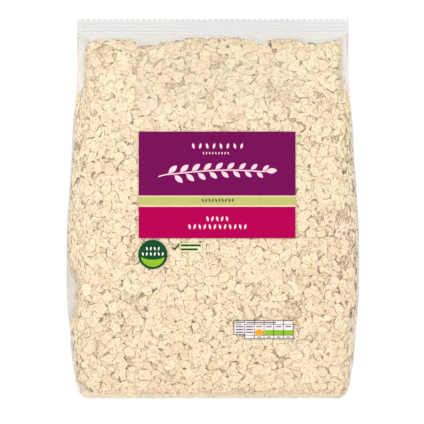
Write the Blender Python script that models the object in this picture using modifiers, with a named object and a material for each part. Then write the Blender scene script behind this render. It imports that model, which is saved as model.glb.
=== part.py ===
"""Clear side-gusseted film bag of rolled oats, standing on its flat base.

Metres, +Z up, the printed front faces -Y. The bag and its contents are one solid.
Sizes below are millimetres, and MM turns them into metres when the meshes are made.
"""

import math

import bmesh
import bpy

MM = 0.001

HEIGHT = 266.0
SEAL_HEIGHT = 10.0
SEAL_HALF_WIDTH = 95.2
SEAL_THICKNESS = 0.9
CRIMP_DEPTH = 0.35
CRIMP_PITCH = 2.3
CRIMP_LINES = 4
TOOTH_COUNT = 49
TOOTH_DEPTH = 1.3

NODE_GAP = 0.3
PRINT_LIFT = 0.3
PRINT_THICKNESS = 0.4

FACE_COLUMNS = 20
SIDE_ROWS = 6
FACE_POWER = 2.4

BACK_SEAM_HALF_WIDTH = 6.0
BACK_SEAM_THICKNESS = 0.7

BASE_GROOVE_WIDTH = 0.9
BASE_GROOVE_DEPTH = 0.5

# Each row: height, outer half width, half depth at the creases, how far the faces
# bulge beyond the creases, how far the gussets bulge (negative is folded in).
SECTIONS = (
    (0.0, 87.6, 15.5, 0.3, 0.2),
    (0.5, 89.6, 17.2, 0.4, 0.3),
    (1.6, 91.9, 18.9, 0.5, 0.4),
    (3.4, 93.8, 20.1, 0.8, 0.6),
    (6.2, 95.2, 20.9, 1.5, 1.0),
    (10.4, 96.3, 21.1, 2.8, 1.7),
    (18.8, 98.0, 20.9, 5.2, 3.3),
    (27.0, 99.3, 20.3, 7.2, 4.7),
    (35.5, 99.9, 19.6, 8.7, 5.7),
    (44.0, 100.3, 19.0, 9.8, 6.5),
    (52.0, 100.9, 18.6, 10.6, 7.4),
    (61.0, 101.8, 18.3, 11.3, 8.3),
    (72.0, 102.4, 18.1, 11.8, 8.9),
    (85.0, 102.5, 18.0, 12.0, 9.0),
    (100.0, 102.5, 18.0, 12.0, 9.0),
    (114.0, 102.5, 18.0, 12.0, 9.0),
    (126.0, 102.3, 17.9, 11.9, 8.8),
    (137.0, 101.8, 17.6, 11.7, 8.3),
    (147.0, 101.1, 17.2, 11.4, 7.6),
    (157.0, 100.5, 16.6, 11.0, 6.9),
    (167.0, 99.8, 15.9, 10.5, 6.2),
    (177.0, 99.1, 15.1, 10.0, 5.4),
    (187.0, 98.5, 14.1, 9.4, 4.6),
    (196.0, 98.0, 13.0, 8.7, 3.9),
    (204.0, 97.5, 11.9, 8.0, 3.2),
    (212.0, 96.9, 10.7, 7.2, 2.3),
    (220.0, 96.0, 9.4, 6.2, 1.0),
    (228.0, 95.2, 8.0, 5.2, -2.0),
    (236.0, 94.8, 6.5, 4.0, -7.0),
    (243.0, 94.7, 5.0, 2.8, -11.0),
    (249.0, 94.7, 3.2, 1.5, -12.0),
    (253.0, 94.8, 1.7, 0.6, -7.0),
    (255.7, 94.9, 0.6, 0.1, 0.0),
)

# Print fields on the front: node, left, right, bottom, top.
FIELDS = (
    ("label_upper", -51.4, 57.7, 142.8, 186.6),
    ("label_band", -51.4, 57.7, 135.2, 141.9),
    ("label_lower", -51.4, 57.7, 112.7, 134.2),
    ("nutrition_panel", 14.7, 56.1, 42.2, 54.8),
)
ROUNDEL = ("roundel", -41.9, 100.9, 10.2)

COLOURS = {
    "filled_film": (0.89, 0.74, 0.52),
    "seal_film": (0.82, 0.81, 0.80),
    "print_purple": (0.205, 0.007, 0.112),
    "print_lime": (0.62, 0.62, 0.2),
    "print_magenta": (0.545, 0.002, 0.1),
    "print_green": (0.01, 0.085, 0.02),
    "print_lilac": (0.75, 0.68, 0.68),
}


def clear_scene():
    for obj in list(bpy.data.objects):
        bpy.data.objects.remove(obj, do_unlink=True)


def make_collection(name):
    collection = bpy.data.collections.new(name)
    bpy.context.scene.collection.children.link(collection)
    return collection


def make_material(name):
    material = bpy.data.materials.new(name)
    material.use_nodes = True
    shader = material.node_tree.nodes["Principled BSDF"]
    shader.inputs["Base Color"].default_value = (*COLOURS[name], 1.0)
    shader.inputs["Roughness"].default_value = 0.25
    material.diffuse_color = (*COLOURS[name], 1.0)
    return material


def section_at(height):
    """Outer half width, crease depth, face bulge and gusset bulge at a height."""
    if height <= SECTIONS[0][0]:
        return SECTIONS[0][1:]
    for low, high in zip(SECTIONS, SECTIONS[1:]):
        if height <= high[0]:
            part = (height - low[0]) / (high[0] - low[0])
            return tuple(a + (b - a) * part for a, b in zip(low[1:], high[1:]))
    return SECTIONS[-1][1:]


def crease_half_width(section):
    return section[0] - max(section[3], 0.0)


def face_depth(x, section):
    """How far the front or back film stands out from the middle plane at x."""
    across = min(abs(x) / crease_half_width(section), 1.0)
    return section[1] + section[2] * (1.0 - across**FACE_POWER)


def face_stations():
    """Positions across a face, from -1 to 1, closer together towards the creases."""
    stations = []
    for i in range(FACE_COLUMNS + 1):
        along = -1.0 + 2.0 * i / FACE_COLUMNS
        stations.append(0.75 * along + 0.25 * math.sin(along * math.pi / 2))
    return stations


def ring_points(height, section):
    """One closed outline of the bag, anticlockwise seen from above."""
    half = crease_half_width(section)
    depth, gusset = section[1], section[3]
    points = []
    for u in face_stations():
        points.append((u * half, -face_depth(u * half, section)))
    side = []
    for j in range(1, SIDE_ROWS):
        across = -1.0 + 2.0 * j / SIDE_ROWS
        power = 2.0 if gusset > 0 else 1.15
        side.append((half + gusset * (1.0 - abs(across) ** power), across * depth))
    points.extend(side)
    edge = BACK_SEAM_HALF_WIDTH
    seam = BACK_SEAM_THICKNESS * min(1.0, (HEIGHT - SEAL_HEIGHT - height) / 12.0, 0.3 + height / 12.0)
    for u in reversed(face_stations()):
        x = u * half
        if abs(x) < edge:
            for at in (edge + 0.4, edge, 0.0, -edge, -edge - 0.4):
                lift = seam if abs(at) <= edge else 0.0
                points.append((at, face_depth(at, section) + lift))
        else:
            points.append((x, face_depth(x, section)))
    points.extend((-x, y) for x, y in reversed(side))
    return [(x * MM, y * MM, height * MM) for x, y in points]


def add_part(name, bm, collection, material, smooth):
    """Turn a bmesh into a named object of its own in the part's collection."""
    bmesh.ops.recalc_face_normals(bm, faces=bm.faces)
    mesh = bpy.data.meshes.new(name)
    bm.to_mesh(mesh)
    bm.free()
    mesh.polygons.foreach_set("use_smooth", [smooth] * len(mesh.polygons))
    obj = bpy.data.objects.new(name, mesh)
    collection.objects.link(obj)
    if material is not None:
        mesh.materials.append(material)
    return obj


def add_cutter(name, bm, collection):
    obj = add_part(name, bm, collection, None, False)
    obj.hide_render = True
    obj.display_type = "WIRE"
    return obj


def cut(target, cutter):
    modifier = target.modifiers.new("cut " + cutter.name, "BOOLEAN")
    modifier.operation = "DIFFERENCE"
    modifier.solver = "EXACT"
    modifier.object = cutter


def make_bag(parts, material):
    """Loft the filled film from the base to just under the seal."""
    bm = bmesh.new()
    rings = []
    for row in SECTIONS:
        rings.append([bm.verts.new(p) for p in ring_points(row[0], row[1:])])
    count = len(rings[0])
    for low, high in zip(rings, rings[1:]):
        for i in range(count):
            j = (i + 1) % count
            bm.faces.new((low[i], low[j], high[j], high[i]))
    bm.faces.new(list(reversed(rings[0])))
    bm.faces.new(rings[-1])
    return add_part("bag", bm, parts, material, True)


def base_groove(name, start, end, cutters):
    """A shallow fold line across the base, from one point to another in plan."""
    length = math.dist(start, end)
    angle = math.atan2(end[1] - start[1], end[0] - start[0])
    bm = bmesh.new()
    bmesh.ops.create_cube(bm, size=1.0)
    size = (length * MM, BASE_GROOVE_WIDTH * MM, 2 * BASE_GROOVE_DEPTH * MM)
    bmesh.ops.scale(bm, vec=size, verts=bm.verts)
    cutter = add_cutter(name, bm, cutters)
    cutter.location = ((start[0] + end[0]) / 2 * MM, (start[1] + end[1]) / 2 * MM, 0.0)
    cutter.rotation_euler = (0.0, 0.0, angle)
    return cutter


def cut_base_folds(bag, cutters):
    """The folded end of the tube shows under the base as two lines and four tucks."""
    lines = (
        ("flap_front_line", (-72.0, -3.0), (72.0, -3.0)),
        ("flap_back_line", (-72.0, 8.0), (72.0, 8.0)),
        ("tuck_left_front", (-82.0, -11.5), (-73.5, -4.5)),
        ("tuck_left_back", (-82.0, 13.0), (-73.5, 9.0)),
        ("tuck_right_front", (82.0, -11.5), (73.5, -4.5)),
        ("tuck_right_back", (82.0, 13.0), (73.5, 9.0)),
    )
    for name, start, end in lines:
        cut(bag, base_groove(name, start, end, cutters))


def seal_outline():
    """Crimped cross-section of the seal band, as (y, z) points around it."""
    low = HEIGHT - SEAL_HEIGHT
    half = SEAL_THICKNESS / 2
    middle = [(0.0, low)]
    first = low + 0.5 * (SEAL_HEIGHT - CRIMP_LINES * CRIMP_PITCH)
    for i in range(CRIMP_LINES * 4 + 1):
        wave = CRIMP_DEPTH * math.sin(i * math.pi / 2)
        middle.append((wave, first + i * CRIMP_PITCH / 4))
    middle.append((0.0, HEIGHT))
    front = [(y - half, z) for y, z in middle]
    back = [(y + half, z) for y, z in reversed(middle)]
    return front + back


def make_seal(parts, cutters, material):
    """Extrude the crimped band across the bag and cut its top edge to teeth."""
    bm = bmesh.new()
    left = [bm.verts.new((-SEAL_HALF_WIDTH * MM, y * MM, z * MM)) for y, z in seal_outline()]
    face = bm.faces.new(left)
    extruded = bmesh.ops.extrude_face_region(bm, geom=[face])["geom"]
    moved = [item for item in extruded if isinstance(item, bmesh.types.BMVert)]
    bmesh.ops.translate(bm, vec=(2 * SEAL_HALF_WIDTH * MM, 0.0, 0.0), verts=moved)
    bmesh.ops.triangulate(bm, faces=[f for f in bm.faces if len(f.verts) > 4])
    seal = add_part("top_seal", bm, parts, material, False)

    pitch = 2 * (SEAL_HALF_WIDTH + 0.5) / TOOTH_COUNT
    bm = bmesh.new()
    outline = [(SEAL_HALF_WIDTH + 1.5, HEIGHT + 3.0), (-SEAL_HALF_WIDTH - 1.5, HEIGHT + 3.0)]
    outline.append((-SEAL_HALF_WIDTH - 1.5, HEIGHT - TOOTH_DEPTH))
    for i in range(TOOTH_COUNT):
        x = -SEAL_HALF_WIDTH - 0.5 + i * pitch
        outline.append((x, HEIGHT - TOOTH_DEPTH))
        outline.append((x + pitch / 2, HEIGHT))
    outline.append((SEAL_HALF_WIDTH + 0.5, HEIGHT - TOOTH_DEPTH))
    outline.append((SEAL_HALF_WIDTH + 1.5, HEIGHT - TOOTH_DEPTH))
    face = bm.faces.new([bm.verts.new((x * MM, -0.003, z * MM)) for x, z in outline])
    extruded = bmesh.ops.extrude_face_region(bm, geom=[face])["geom"]
    moved = [item for item in extruded if isinstance(item, bmesh.types.BMVert)]
    bmesh.ops.translate(bm, vec=(0.0, 0.006, 0.0), verts=moved)
    bmesh.ops.triangulate(bm, faces=[f for f in bm.faces if len(f.verts) > 4])
    cut(seal, add_cutter("seal_teeth", bm, cutters))
    return seal


def lay_on_front(bm, lift):
    """Bend a flat sheet in the XZ plane onto the bag's front."""
    for vert in bm.verts:
        x, height = vert.co.x / MM, vert.co.z / MM
        vert.co.y = -(face_depth(x, section_at(height)) + lift) * MM


def thicken(obj):
    modifier = obj.modifiers.new("print thickness", "SOLIDIFY")
    modifier.thickness = PRINT_THICKNESS * MM
    modifier.offset = 1.0


def make_field(name, left, right, low, high, parts, material):
    columns = max(4, round((right - left) / 9.0))
    rows = max(2, round((high - low) / 9.0))
    bm = bmesh.new()
    bmesh.ops.create_grid(bm, x_segments=columns, y_segments=rows, size=0.5)
    for vert in bm.verts:
        x = left + (vert.co.x + 0.5) * (right - left)
        z = low + (vert.co.y + 0.5) * (high - low)
        vert.co = (x * MM, 0.0, z * MM)
    lay_on_front(bm, PRINT_LIFT)
    obj = add_part(name, bm, parts, material, True)
    face_forward(obj)
    thicken(obj)
    return obj


def make_roundel(parts, material):
    """A disc laid on the front, made from a square grid drawn in to a circle."""
    name, x, z, radius = ROUNDEL
    bm = bmesh.new()
    bmesh.ops.create_grid(bm, x_segments=8, y_segments=8, size=1.0)
    for vert in bm.verts:
        u, v = vert.co.x, vert.co.y
        across = u * math.sqrt(1.0 - v * v / 2)
        up = v * math.sqrt(1.0 - u * u / 2)
        vert.co = ((x + across * radius) * MM, 0.0, (z + up * radius) * MM)
    lay_on_front(bm, PRINT_LIFT)
    obj = add_part(name, bm, parts, material, True)
    face_forward(obj)
    thicken(obj)
    return obj


def face_forward(obj):
    """Turn an open sheet's faces towards -Y, so that its thickness grows outwards."""
    bm = bmesh.new()
    bm.from_mesh(obj.data)
    total = sum(face.normal.y * face.calc_area() for face in bm.faces)
    if total > 0:
        bmesh.ops.reverse_faces(bm, faces=bm.faces)
    bm.to_mesh(obj.data)
    bm.free()


def main():
    clear_scene()
    parts = make_collection("oat_bag")
    cutters = make_collection("oat_bag_cutters")
    colours = {name: make_material(name) for name in COLOURS}

    bag = make_bag(parts, colours["filled_film"])
    cut_base_folds(bag, cutters)
    make_seal(parts, cutters, colours["seal_film"])

    field_colours = {
        "label_upper": "print_purple",
        "label_band": "print_lime",
        "label_lower": "print_magenta",
        "nutrition_panel": "print_lilac",
    }
    for name, left, right, low, high in FIELDS:
        make_field(name, left, right, low, high, parts, colours[field_colours[name]])
    make_roundel(parts, colours["print_green"])


main()
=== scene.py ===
import math

import bmesh
import bpy
import numpy as np
from mathutils import Matrix, Vector


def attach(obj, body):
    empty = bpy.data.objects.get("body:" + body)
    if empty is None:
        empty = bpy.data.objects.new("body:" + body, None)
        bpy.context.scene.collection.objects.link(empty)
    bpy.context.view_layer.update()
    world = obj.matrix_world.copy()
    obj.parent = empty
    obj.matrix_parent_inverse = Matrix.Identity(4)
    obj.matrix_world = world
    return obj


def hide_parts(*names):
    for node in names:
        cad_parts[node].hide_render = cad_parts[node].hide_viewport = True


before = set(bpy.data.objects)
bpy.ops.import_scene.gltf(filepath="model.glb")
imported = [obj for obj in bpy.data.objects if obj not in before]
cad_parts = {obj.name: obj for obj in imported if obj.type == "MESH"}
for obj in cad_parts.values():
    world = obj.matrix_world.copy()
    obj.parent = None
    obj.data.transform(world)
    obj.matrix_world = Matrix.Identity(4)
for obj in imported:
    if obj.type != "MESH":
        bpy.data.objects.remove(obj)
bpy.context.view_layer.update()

MM = 0.001

# The bag's form, in millimetres: height, outer half width, half depth at the creases,
# how far the faces bulge past the creases, how far the gussets bulge (negative: folded in).
SECTIONS = np.array((
    (0.0, 87.6, 15.5, 0.3, 0.2),
    (0.5, 89.6, 17.2, 0.4, 0.3),
    (1.6, 91.9, 18.9, 0.5, 0.4),
    (3.4, 93.8, 20.1, 0.8, 0.6),
    (6.2, 95.2, 20.9, 1.5, 1.0),
    (10.4, 96.3, 21.1, 2.8, 1.7),
    (18.8, 97.6, 20.9, 5.2, 3.3),
    (27.0, 98.8, 20.3, 7.2, 4.7),
    (35.5, 99.4, 19.6, 8.7, 5.7),
    (44.0, 99.9, 19.0, 9.8, 6.5),
    (52.0, 100.6, 18.6, 10.6, 7.4),
    (61.0, 101.5, 18.3, 11.3, 8.3),
    (72.0, 102.2, 18.1, 11.8, 8.9),
    (85.0, 102.4, 18.0, 12.0, 9.0),
    (100.0, 102.4, 18.0, 12.0, 9.0),
    (114.0, 102.3, 18.0, 12.0, 9.0),
    (126.0, 101.9, 17.9, 11.9, 8.8),
    (137.0, 101.0, 17.6, 11.7, 8.3),
    (147.0, 100.5, 17.2, 11.4, 7.6),
    (157.0, 99.8, 16.6, 11.0, 6.9),
    (167.0, 99.1, 15.9, 10.5, 6.2),
    (177.0, 98.6, 15.1, 10.0, 5.4),
    (187.0, 98.2, 14.1, 9.4, 4.6),
    (196.0, 97.5, 13.0, 8.7, 3.9),
    (204.0, 96.9, 11.9, 8.0, 3.2),
    (212.0, 96.0, 10.7, 7.2, 2.3),
    (220.0, 95.2, 9.4, 6.2, 1.0),
    (228.0, 94.8, 8.0, 5.2, -2.0),
    (236.0, 94.6, 6.5, 4.0, -7.0),
    (243.0, 94.7, 5.0, 2.8, -11.0),
    (249.0, 94.7, 3.2, 1.5, -12.0),
    (253.0, 94.8, 1.7, 0.6, -7.0),
    (255.7, 94.9, 0.6, 0.1, 0.0),
))
FACE_POWER = 2.4
SEAL_LOW = 256.0
SEAL_TOP = 266.0

# The skin's points: so many along each face and each gusset, and this far apart, in millimetres.
FACE_CELLS = 380
SIDE_CELLS = 84
CELL = 0.5

# The dent in the left gusset, where the oats stay off the film: its middle, in millimetres up.
DENT_MIDDLE = 74.0

# Where the oats end at the top, across the front, in millimetres: x, height.
OATS_TOP = np.array((
    (-92.0, 250.0), (-88.0, 251.3), (-58.0, 251.3), (-54.0, 249.5), (-50.0, 247.6), (-46.0, 247.6),
    (-42.0, 248.6), (-34.0, 248.8), (-27.0, 250.6), (-14.0, 252.6), (0.0, 253.2), (26.0, 253.0),
    (31.0, 249.5), (36.0, 248.3), (40.0, 251.6), (60.0, 252.0), (65.0, 249.0), (78.0, 248.6),
    (83.0, 251.0), (90.0, 251.2),
))


# The bag's surface.

def smooth_columns(at, table):
    """The section table read at many heights, with a smooth curve through its rows."""
    height = table[:, 0]
    result = []
    for column in table.T[1:]:
        step = np.diff(height)
        slope = np.diff(column) / step
        before, after = slope[:-1], slope[1:]
        total = np.where(np.abs(before + after) < 1e-9, 1, before + after)
        middle = np.where(before * after > 0, 2 * before * after / total, 0.0)
        tangent = np.concatenate(([slope[0]], middle, [slope[-1]]))
        i = np.clip(np.searchsorted(height, at, side="right") - 1, 0, len(step) - 1)
        t = (at - height[i]) / step[i]
        a, b = column[i], column[i + 1]
        ma, mb = tangent[i] * step[i], tangent[i + 1] * step[i]
        result.append(
            (2 * t**3 - 3 * t**2 + 1) * a + (t**3 - 2 * t**2 + t) * ma
            + (3 * t**2 - 2 * t**3) * b + (t**3 - t**2) * mb
        )
    return result


def even_points(line, count):
    """count points spaced evenly along an open line, its first point but not its last."""
    length = np.concatenate(([0.0], np.cumsum(np.linalg.norm(np.diff(line, axis=0), axis=1))))
    at = np.arange(count) / count * length[-1]
    return np.stack([np.interp(at, length, line[:, k]) for k in range(2)], axis=1)


def bag_outline(outer, depth, bulge, gusset):
    """One outline of the bag in plan: front, right gusset, back, left gusset."""
    half = outer - max(gusset, 0.0)
    u = np.linspace(-1, 1, 161)
    face = np.stack((u * half, -(depth + bulge * (1 - np.abs(u) ** FACE_POWER))), axis=1)
    w = np.linspace(-1, 1, 61)
    fold = 2.0 if gusset > 0 else 2.0 - 0.9 * min(1.0, -gusset / 4.0)
    side = np.stack((half + gusset * (1 - np.abs(w) ** fold), w * depth), axis=1)
    return np.concatenate((
        even_points(face, FACE_CELLS),
        even_points(side, SIDE_CELLS),
        even_points(-face, FACE_CELLS),
        even_points(-side, SIDE_CELLS),
    ))


def soften(ring, sigma):
    """Round the creases of one outline by averaging along it."""
    if sigma < 0.3:
        return ring
    reach = int(math.ceil(3 * sigma))
    weight = np.exp(-0.5 * (np.arange(-reach, reach + 1) / sigma) ** 2)
    weight /= weight.sum()
    padded = np.concatenate((ring[-reach:], ring, ring[:reach]))
    return np.stack([np.convolve(padded[:, k], weight, mode="valid") for k in range(2)], axis=1)


def bag_skin():
    """Points all over the bag's wall, in millimetres, row by row from the base up."""
    fine = np.linspace(0.0, 255.7, 2600)
    outer, depth, bulge, gusset = smooth_columns(fine, SECTIONS)
    run = np.concatenate(([0.0], np.cumsum(np.hypot(np.diff(fine), np.diff(depth + bulge)))))
    rows = int(run[-1] / CELL)
    heights = np.interp(np.linspace(0.0, run[-1], rows + 1), run, fine)
    sections = np.stack(smooth_columns(heights, SECTIONS), axis=1)
    skin = np.empty((rows + 1, 2 * (FACE_CELLS + SIDE_CELLS), 3))
    softness = np.interp(heights, (0, 6, 30, 150, 225, 245, 256), (4.0, 6.0, 9.0, 9.0, 3.0, 1.0, 0.4))
    for i, (height, section) in enumerate(zip(heights, sections)):
        ring = bag_outline(*section)
        wide = np.ptp(ring[:, 0])
        ring = soften(ring, softness[i])
        ring[:, 0] *= wide / np.ptp(ring[:, 0])
        skin[i, :, :2] = ring
        skin[i, :, 2] = height
    return skin


def inward_normals(skin):
    """The way into the bag at every point of the skin."""
    along = np.roll(skin, -1, axis=1) - np.roll(skin, 1, axis=1)
    up = np.gradient(skin, axis=0)
    inward = -np.cross(along, up)
    return inward / np.linalg.norm(inward, axis=2, keepdims=True)


SKIN = bag_skin()
INWARD = inward_normals(SKIN)


# Laying the flakes against the film; lengths are in millimetres.

FLAKES_WALL = 8600
FLAKES_BASE = 300
STACKS = 560  # stacks of flakes on edge, laid first
BED_FLAKES = 3  # flatter flakes laid behind each stack
CELLS_PER_TOP_FLAKE = 75  # then one open flake for so many cells
CHOICES = 7  # places compared for every other flake, which goes where the gap is deepest
GAP_TRIES = 4300  # the deepest gaps left are filled, so many a round
GAP_ROUNDS = ((1.0, 0.8, 0.6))  # how large the flakes of each round are
DEEPEST_GAP = 1.3
WORTH_SEEING = 0.24  # the share of a flake that has to lie in front of the others
COVERED = 0.82  # how far from its middle a flake hides what lies behind it, 1 at its rim
LAYER = 0.16  # the room that a flake takes up between two others
CUT_ALLOWED = 0.1  # the share of a flake that may cut into others
DEEPEST_SLIDE = 0.9  # how far a flake may move in to clear them
ON_EDGE_DEPTH = 0.35  # how deep a stack counts, so that few flakes cover it
TOP_STACKS = 224.0  # above this, stacks lean up or down
SIDE_STACKS = 76.0  # and this far out, sideways
FILM_GAP = 0.3  # the oats stay this far off the film
DEEPEST_REACH = 14.0  # and reach no deeper than this

# How strong the white surround lights the bag from the front and from behind.
FRONT_FILL = 0.51
BACK_FILL = 0.75


def patches(rng):
    """Soft patches over the faces, from 0 (flakes lie open) to 1 (broken and on edge)."""
    spots = rng.uniform((-105.0, 0.0), (105.0, 260.0), (170, 2))
    height = rng.uniform(-1.0, 1.0, 170)

    def at(x, z, y):
        across = x * (1 if y < 0 else -1)
        near = np.exp(-((across - spots[:, 0]) ** 2 + (z - spots[:, 1]) ** 2) / 2 / 9.0**2)
        return float(np.clip(0.42 + 0.5 * near @ height, 0.0, 1.0))

    return at


def near_edge(x, z):
    """From 0 on the open faces to 1 under the top line and along the creases."""
    return max(np.clip((z - TOP_STACKS) / 8, 0, 1), np.clip((abs(x) - SIDE_STACKS) / 8, 0, 1))


def stack_way(x, z, rng):
    """Which way a stack leans: up or down near the top, sideways at the creases, else any way."""
    if z > TOP_STACKS:
        return rng.choice((-0.5, 0.5)) * math.pi + rng.normal(0, 0.25)
    if abs(x) > SIDE_STACKS:
        return rng.choice((0.0, 1.0)) * math.pi + rng.normal(0, 0.35)
    return rng.uniform(0, 2 * math.pi)


def flake_size(rng, broken):
    """Half length, half width and thickness of one flake; broken ones are smaller."""
    grow = rng.uniform(0.3, 0.8) if broken else 1.0
    length = float(np.clip(grow * rng.normal(5.9, 0.7), 1.6, 6.9))
    width = float(np.clip(grow * rng.normal(4.5, 0.6), 1.1, length))
    return length, width, rng.uniform(0.3, 0.5)


RIM = np.linspace(0, 2 * math.pi, 12, endpoint=False)
FLAKE_REACH = 1.08


def stays_in(points):
    """True if all these points lie where the oats are, short of the empty film at the edges."""
    x, z = points[:, 0], points[:, 2]
    top = np.interp(x, OATS_TOP[:, 0], OATS_TOP[:, 1])
    left = np.interp(z, (212, 222, 256), (95.8, 90.8, 90.4))
    right = np.interp(z, (217, 229, 256), (95.3, 91.9, 91.5))
    bad = (z < 0.35) | (z > top + 1.3)
    bad |= (z > 212) & (x < -left) | (z > 217) & (x > right)
    return not bad.any()


def lean_flake(skin, inward, start, room, row, col, way, tip, turn, size):
    """A flake tipped by an angle and pushed out until the highest point of its rim meets the film."""
    rows, cols = start.shape
    if skin[row, col, 2] > 200 and abs(skin[row, col, 0]) > 85:
        tip = min(tip, 0.2)
    length, width, thick = size
    reach = int(math.ceil(length / CELL)) + 2
    r0, r1 = max(row - reach, 0), min(row + reach + 1, rows)
    columns = np.arange(col - reach, col + reach + 1) % cols
    here, into = skin[row, col], inward[row, col]
    up = np.array((0.0, 0.0, 1.0)) if abs(into[2]) < 0.9 else np.array((0.0, 1.0, 0.0))
    east = np.cross(into, up)
    east /= np.linalg.norm(east)
    north = np.cross(east, into)
    rel = skin[r0:r1][:, columns] - here
    u, v, h = rel @ east, rel @ north, rel @ into
    du, dv = math.cos(way), math.sin(way)
    cu, su = math.cos(turn), math.sin(turn)
    a, b = FLAKE_REACH * length * np.cos(RIM), FLAKE_REACH * width * np.sin(RIM)
    rim_along, rim_across = a * cu - b * su, a * su + b * cu
    rim_u = rim_along * math.cos(tip) * du - rim_across * dv
    rim_v = rim_along * math.cos(tip) * dv + rim_across * du
    off = (u.ravel() - rim_u[:, None]) ** 2 + (v.ravel() - rim_v[:, None]) ** 2
    nearest = np.argmin(off + 0.02 * h.ravel() ** 2, axis=1)
    if off[np.arange(len(RIM)), nearest].max() > 0.9:
        return None
    ground = (start[r0:r1][:, columns] + h).ravel()[nearest] - math.sin(tip) * rim_along
    centre = float(ground.max())
    depths = centre + math.sin(tip) * rim_along
    if np.any(depths + thick > np.minimum(room[r0:r1][:, columns].ravel()[nearest], room[row, col])):
        return None
    rim = here + rim_u[:, None] * east + rim_v[:, None] * north + depths[:, None] * into
    if not stays_in(rim):
        return None
    along, across = (u * du + v * dv) / math.cos(tip), v * du - u * dv
    from_middle = ((along * cu + across * su) / length) ** 2 + ((across * cu - along * su) / width) ** 2
    covered = from_middle <= COVERED**2
    under = math.sin(tip) * along[covered] - h[covered]
    downhill = math.cos(tip) * (du * east + dv * north) + math.sin(tip) * into
    level = du * north - dv * east
    out = math.sin(tip) * (du * east + dv * north) - math.cos(tip) * into
    long_way = cu * downhill + su * level
    around = (np.abs(u * du + v * dv) < 1.3) & (np.abs(v * du - u * dv) < 0.62 * length)
    return centre, here, into, out, long_way, (slice(r0, r1), columns, covered, under, around)


def lay_flakes(skin, inward, start, room, allowed, wanted, stacks, rng):
    """Lay flakes behind the film, each where the oats are deepest so far.

    start is how far the oats stay off the film and room how deep they may reach.
    First come stacks of flakes on edge, side by side.
    """
    depth = np.full(start.shape, 9.0)
    cells = np.argwhere(allowed)
    placed = []
    fineness = patches(rng)
    guarded = np.zeros(start.shape, bool)

    def add(row, col, way, tip, turn, size, sink, worth, behind):
        rest = lean_flake(skin, inward, start, room, row, col, way, tip, turn, size)
        if rest is None:
            return False
        centre, here, into, out, long_way, (band, columns, covered, under, around) = rest
        block = depth[band][:, columns]
        met = block[covered]
        if not len(met):
            return False
        reached = centre + sink + under
        if behind:
            for _ in range(5):
                short = met + LAYER - reached
                cuts = (short > 0) & (short < 2 * LAYER)
                if cuts.sum() < CUT_ALLOWED * len(met):
                    break
                reached = reached + max(float(np.quantile(short[cuts], 0.9)), 0.05)
            if reached[0] - centre - under[0] > DEEPEST_SLIDE:
                return False
        if np.mean(reached < met - 0.05) < worth:
            return False
        centre = float(reached[0] - under[0])
        block[covered] = np.minimum(met, reached)
        if not behind and worth < 0:
            guarded[band, columns] |= around
        depth[band, columns] = block
        if rng.random() < 0.5:
            long_way = -long_way
        placed.append((here + into * (centre + size[2] / 2), long_way, np.cross(out, long_way), out, size))
        return True

    for _ in range(stacks):
        picks = cells[rng.integers(0, len(cells), 3)]
        spots = [skin[r, c] for r, c in picks]
        row, col = picks[np.argmax([fineness(x, z, y) + 0.4 * near_edge(x, z) for x, y, z in spots])]
        way, tip = stack_way(skin[row, col, 0], skin[row, col, 2], rng), rng.uniform(0.35, 1.0)
        offset = 0.0
        for _ in range(rng.integers(3, 8)):
            r = int(row + offset * math.sin(way) / CELL + rng.normal(0, 1.5))
            c = int(col + offset * math.cos(way) / CELL + rng.normal(0, 1.5)) % allowed.shape[1]
            offset += rng.uniform(1.3, 2.5)
            if 0 <= r < allowed.shape[0] and allowed[r, c]:
                this_way = way + rng.normal(0, 0.14)
                lean = float(np.clip(tip + rng.normal(0, 0.1), 0.1, 1.3))
                add(r, c, this_way, lean, rng.normal(math.pi / 2, 0.25), flake_size(rng, False),
                    rng.uniform(0, 0.3), -1.0, False)
        for _ in range(BED_FLAKES):
            r, c = int(row + rng.normal(0, 7)), int(col + rng.normal(0, 7)) % allowed.shape[1]
            if 0 <= r < allowed.shape[0] and allowed[r, c]:
                bed_tip = abs(rng.normal(0, 0.2))
                add(r, c, rng.uniform(0, 2 * math.pi), bed_tip, 0.0, flake_size(rng, False),
                    rng.uniform(1.0, 1.7), 0.0, False)
    depth[guarded] = np.minimum(depth[guarded], ON_EDGE_DEPTH)
    for _ in range(len(cells) // CELLS_PER_TOP_FLAKE):
        row, col = cells[rng.integers(0, len(cells))]
        tip = abs(rng.normal(0, 0.14))
        add(row, col, rng.uniform(0, 2 * math.pi), tip, rng.uniform(0, math.pi),
            flake_size(rng, False), 0.0, 0.75, True)
    tries = 0
    while len(placed) < wanted and tries < wanted * 2:
        tries += 1
        picks = cells[rng.integers(0, len(cells), CHOICES)]
        row, col = picks[np.argmax(depth[picks[:, 0], picks[:, 1]])]
        x, y, z = skin[row, col]
        fine = fineness(x, z, y)
        tip = abs(rng.normal(0, 0.12 + 0.25 * fine))
        size = flake_size(rng, rng.random() < 0.04 + 0.4 * fine)
        add(row, col, rng.uniform(0, 2 * math.pi), tip, rng.uniform(0, math.pi),
            size, 0.0, WORTH_SEEING, True)
    for shrink in GAP_ROUNDS:
        gaps = np.argwhere(allowed & (depth > DEEPEST_GAP))
        for row, col in gaps[rng.permutation(len(gaps))[:GAP_TRIES]]:
            if depth[row, col] > DEEPEST_GAP:
                length, width, thick = flake_size(rng, rng.random() < 0.6)
                size = (length * shrink, width * shrink, thick)
                tip = min(abs(rng.normal(0, 0.3)), 0.9)
                add(row, col, rng.uniform(0, 2 * math.pi), tip, rng.uniform(0, math.pi),
                    size, rng.uniform(0.1, 0.7), 0.0, False)
    return placed


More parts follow.
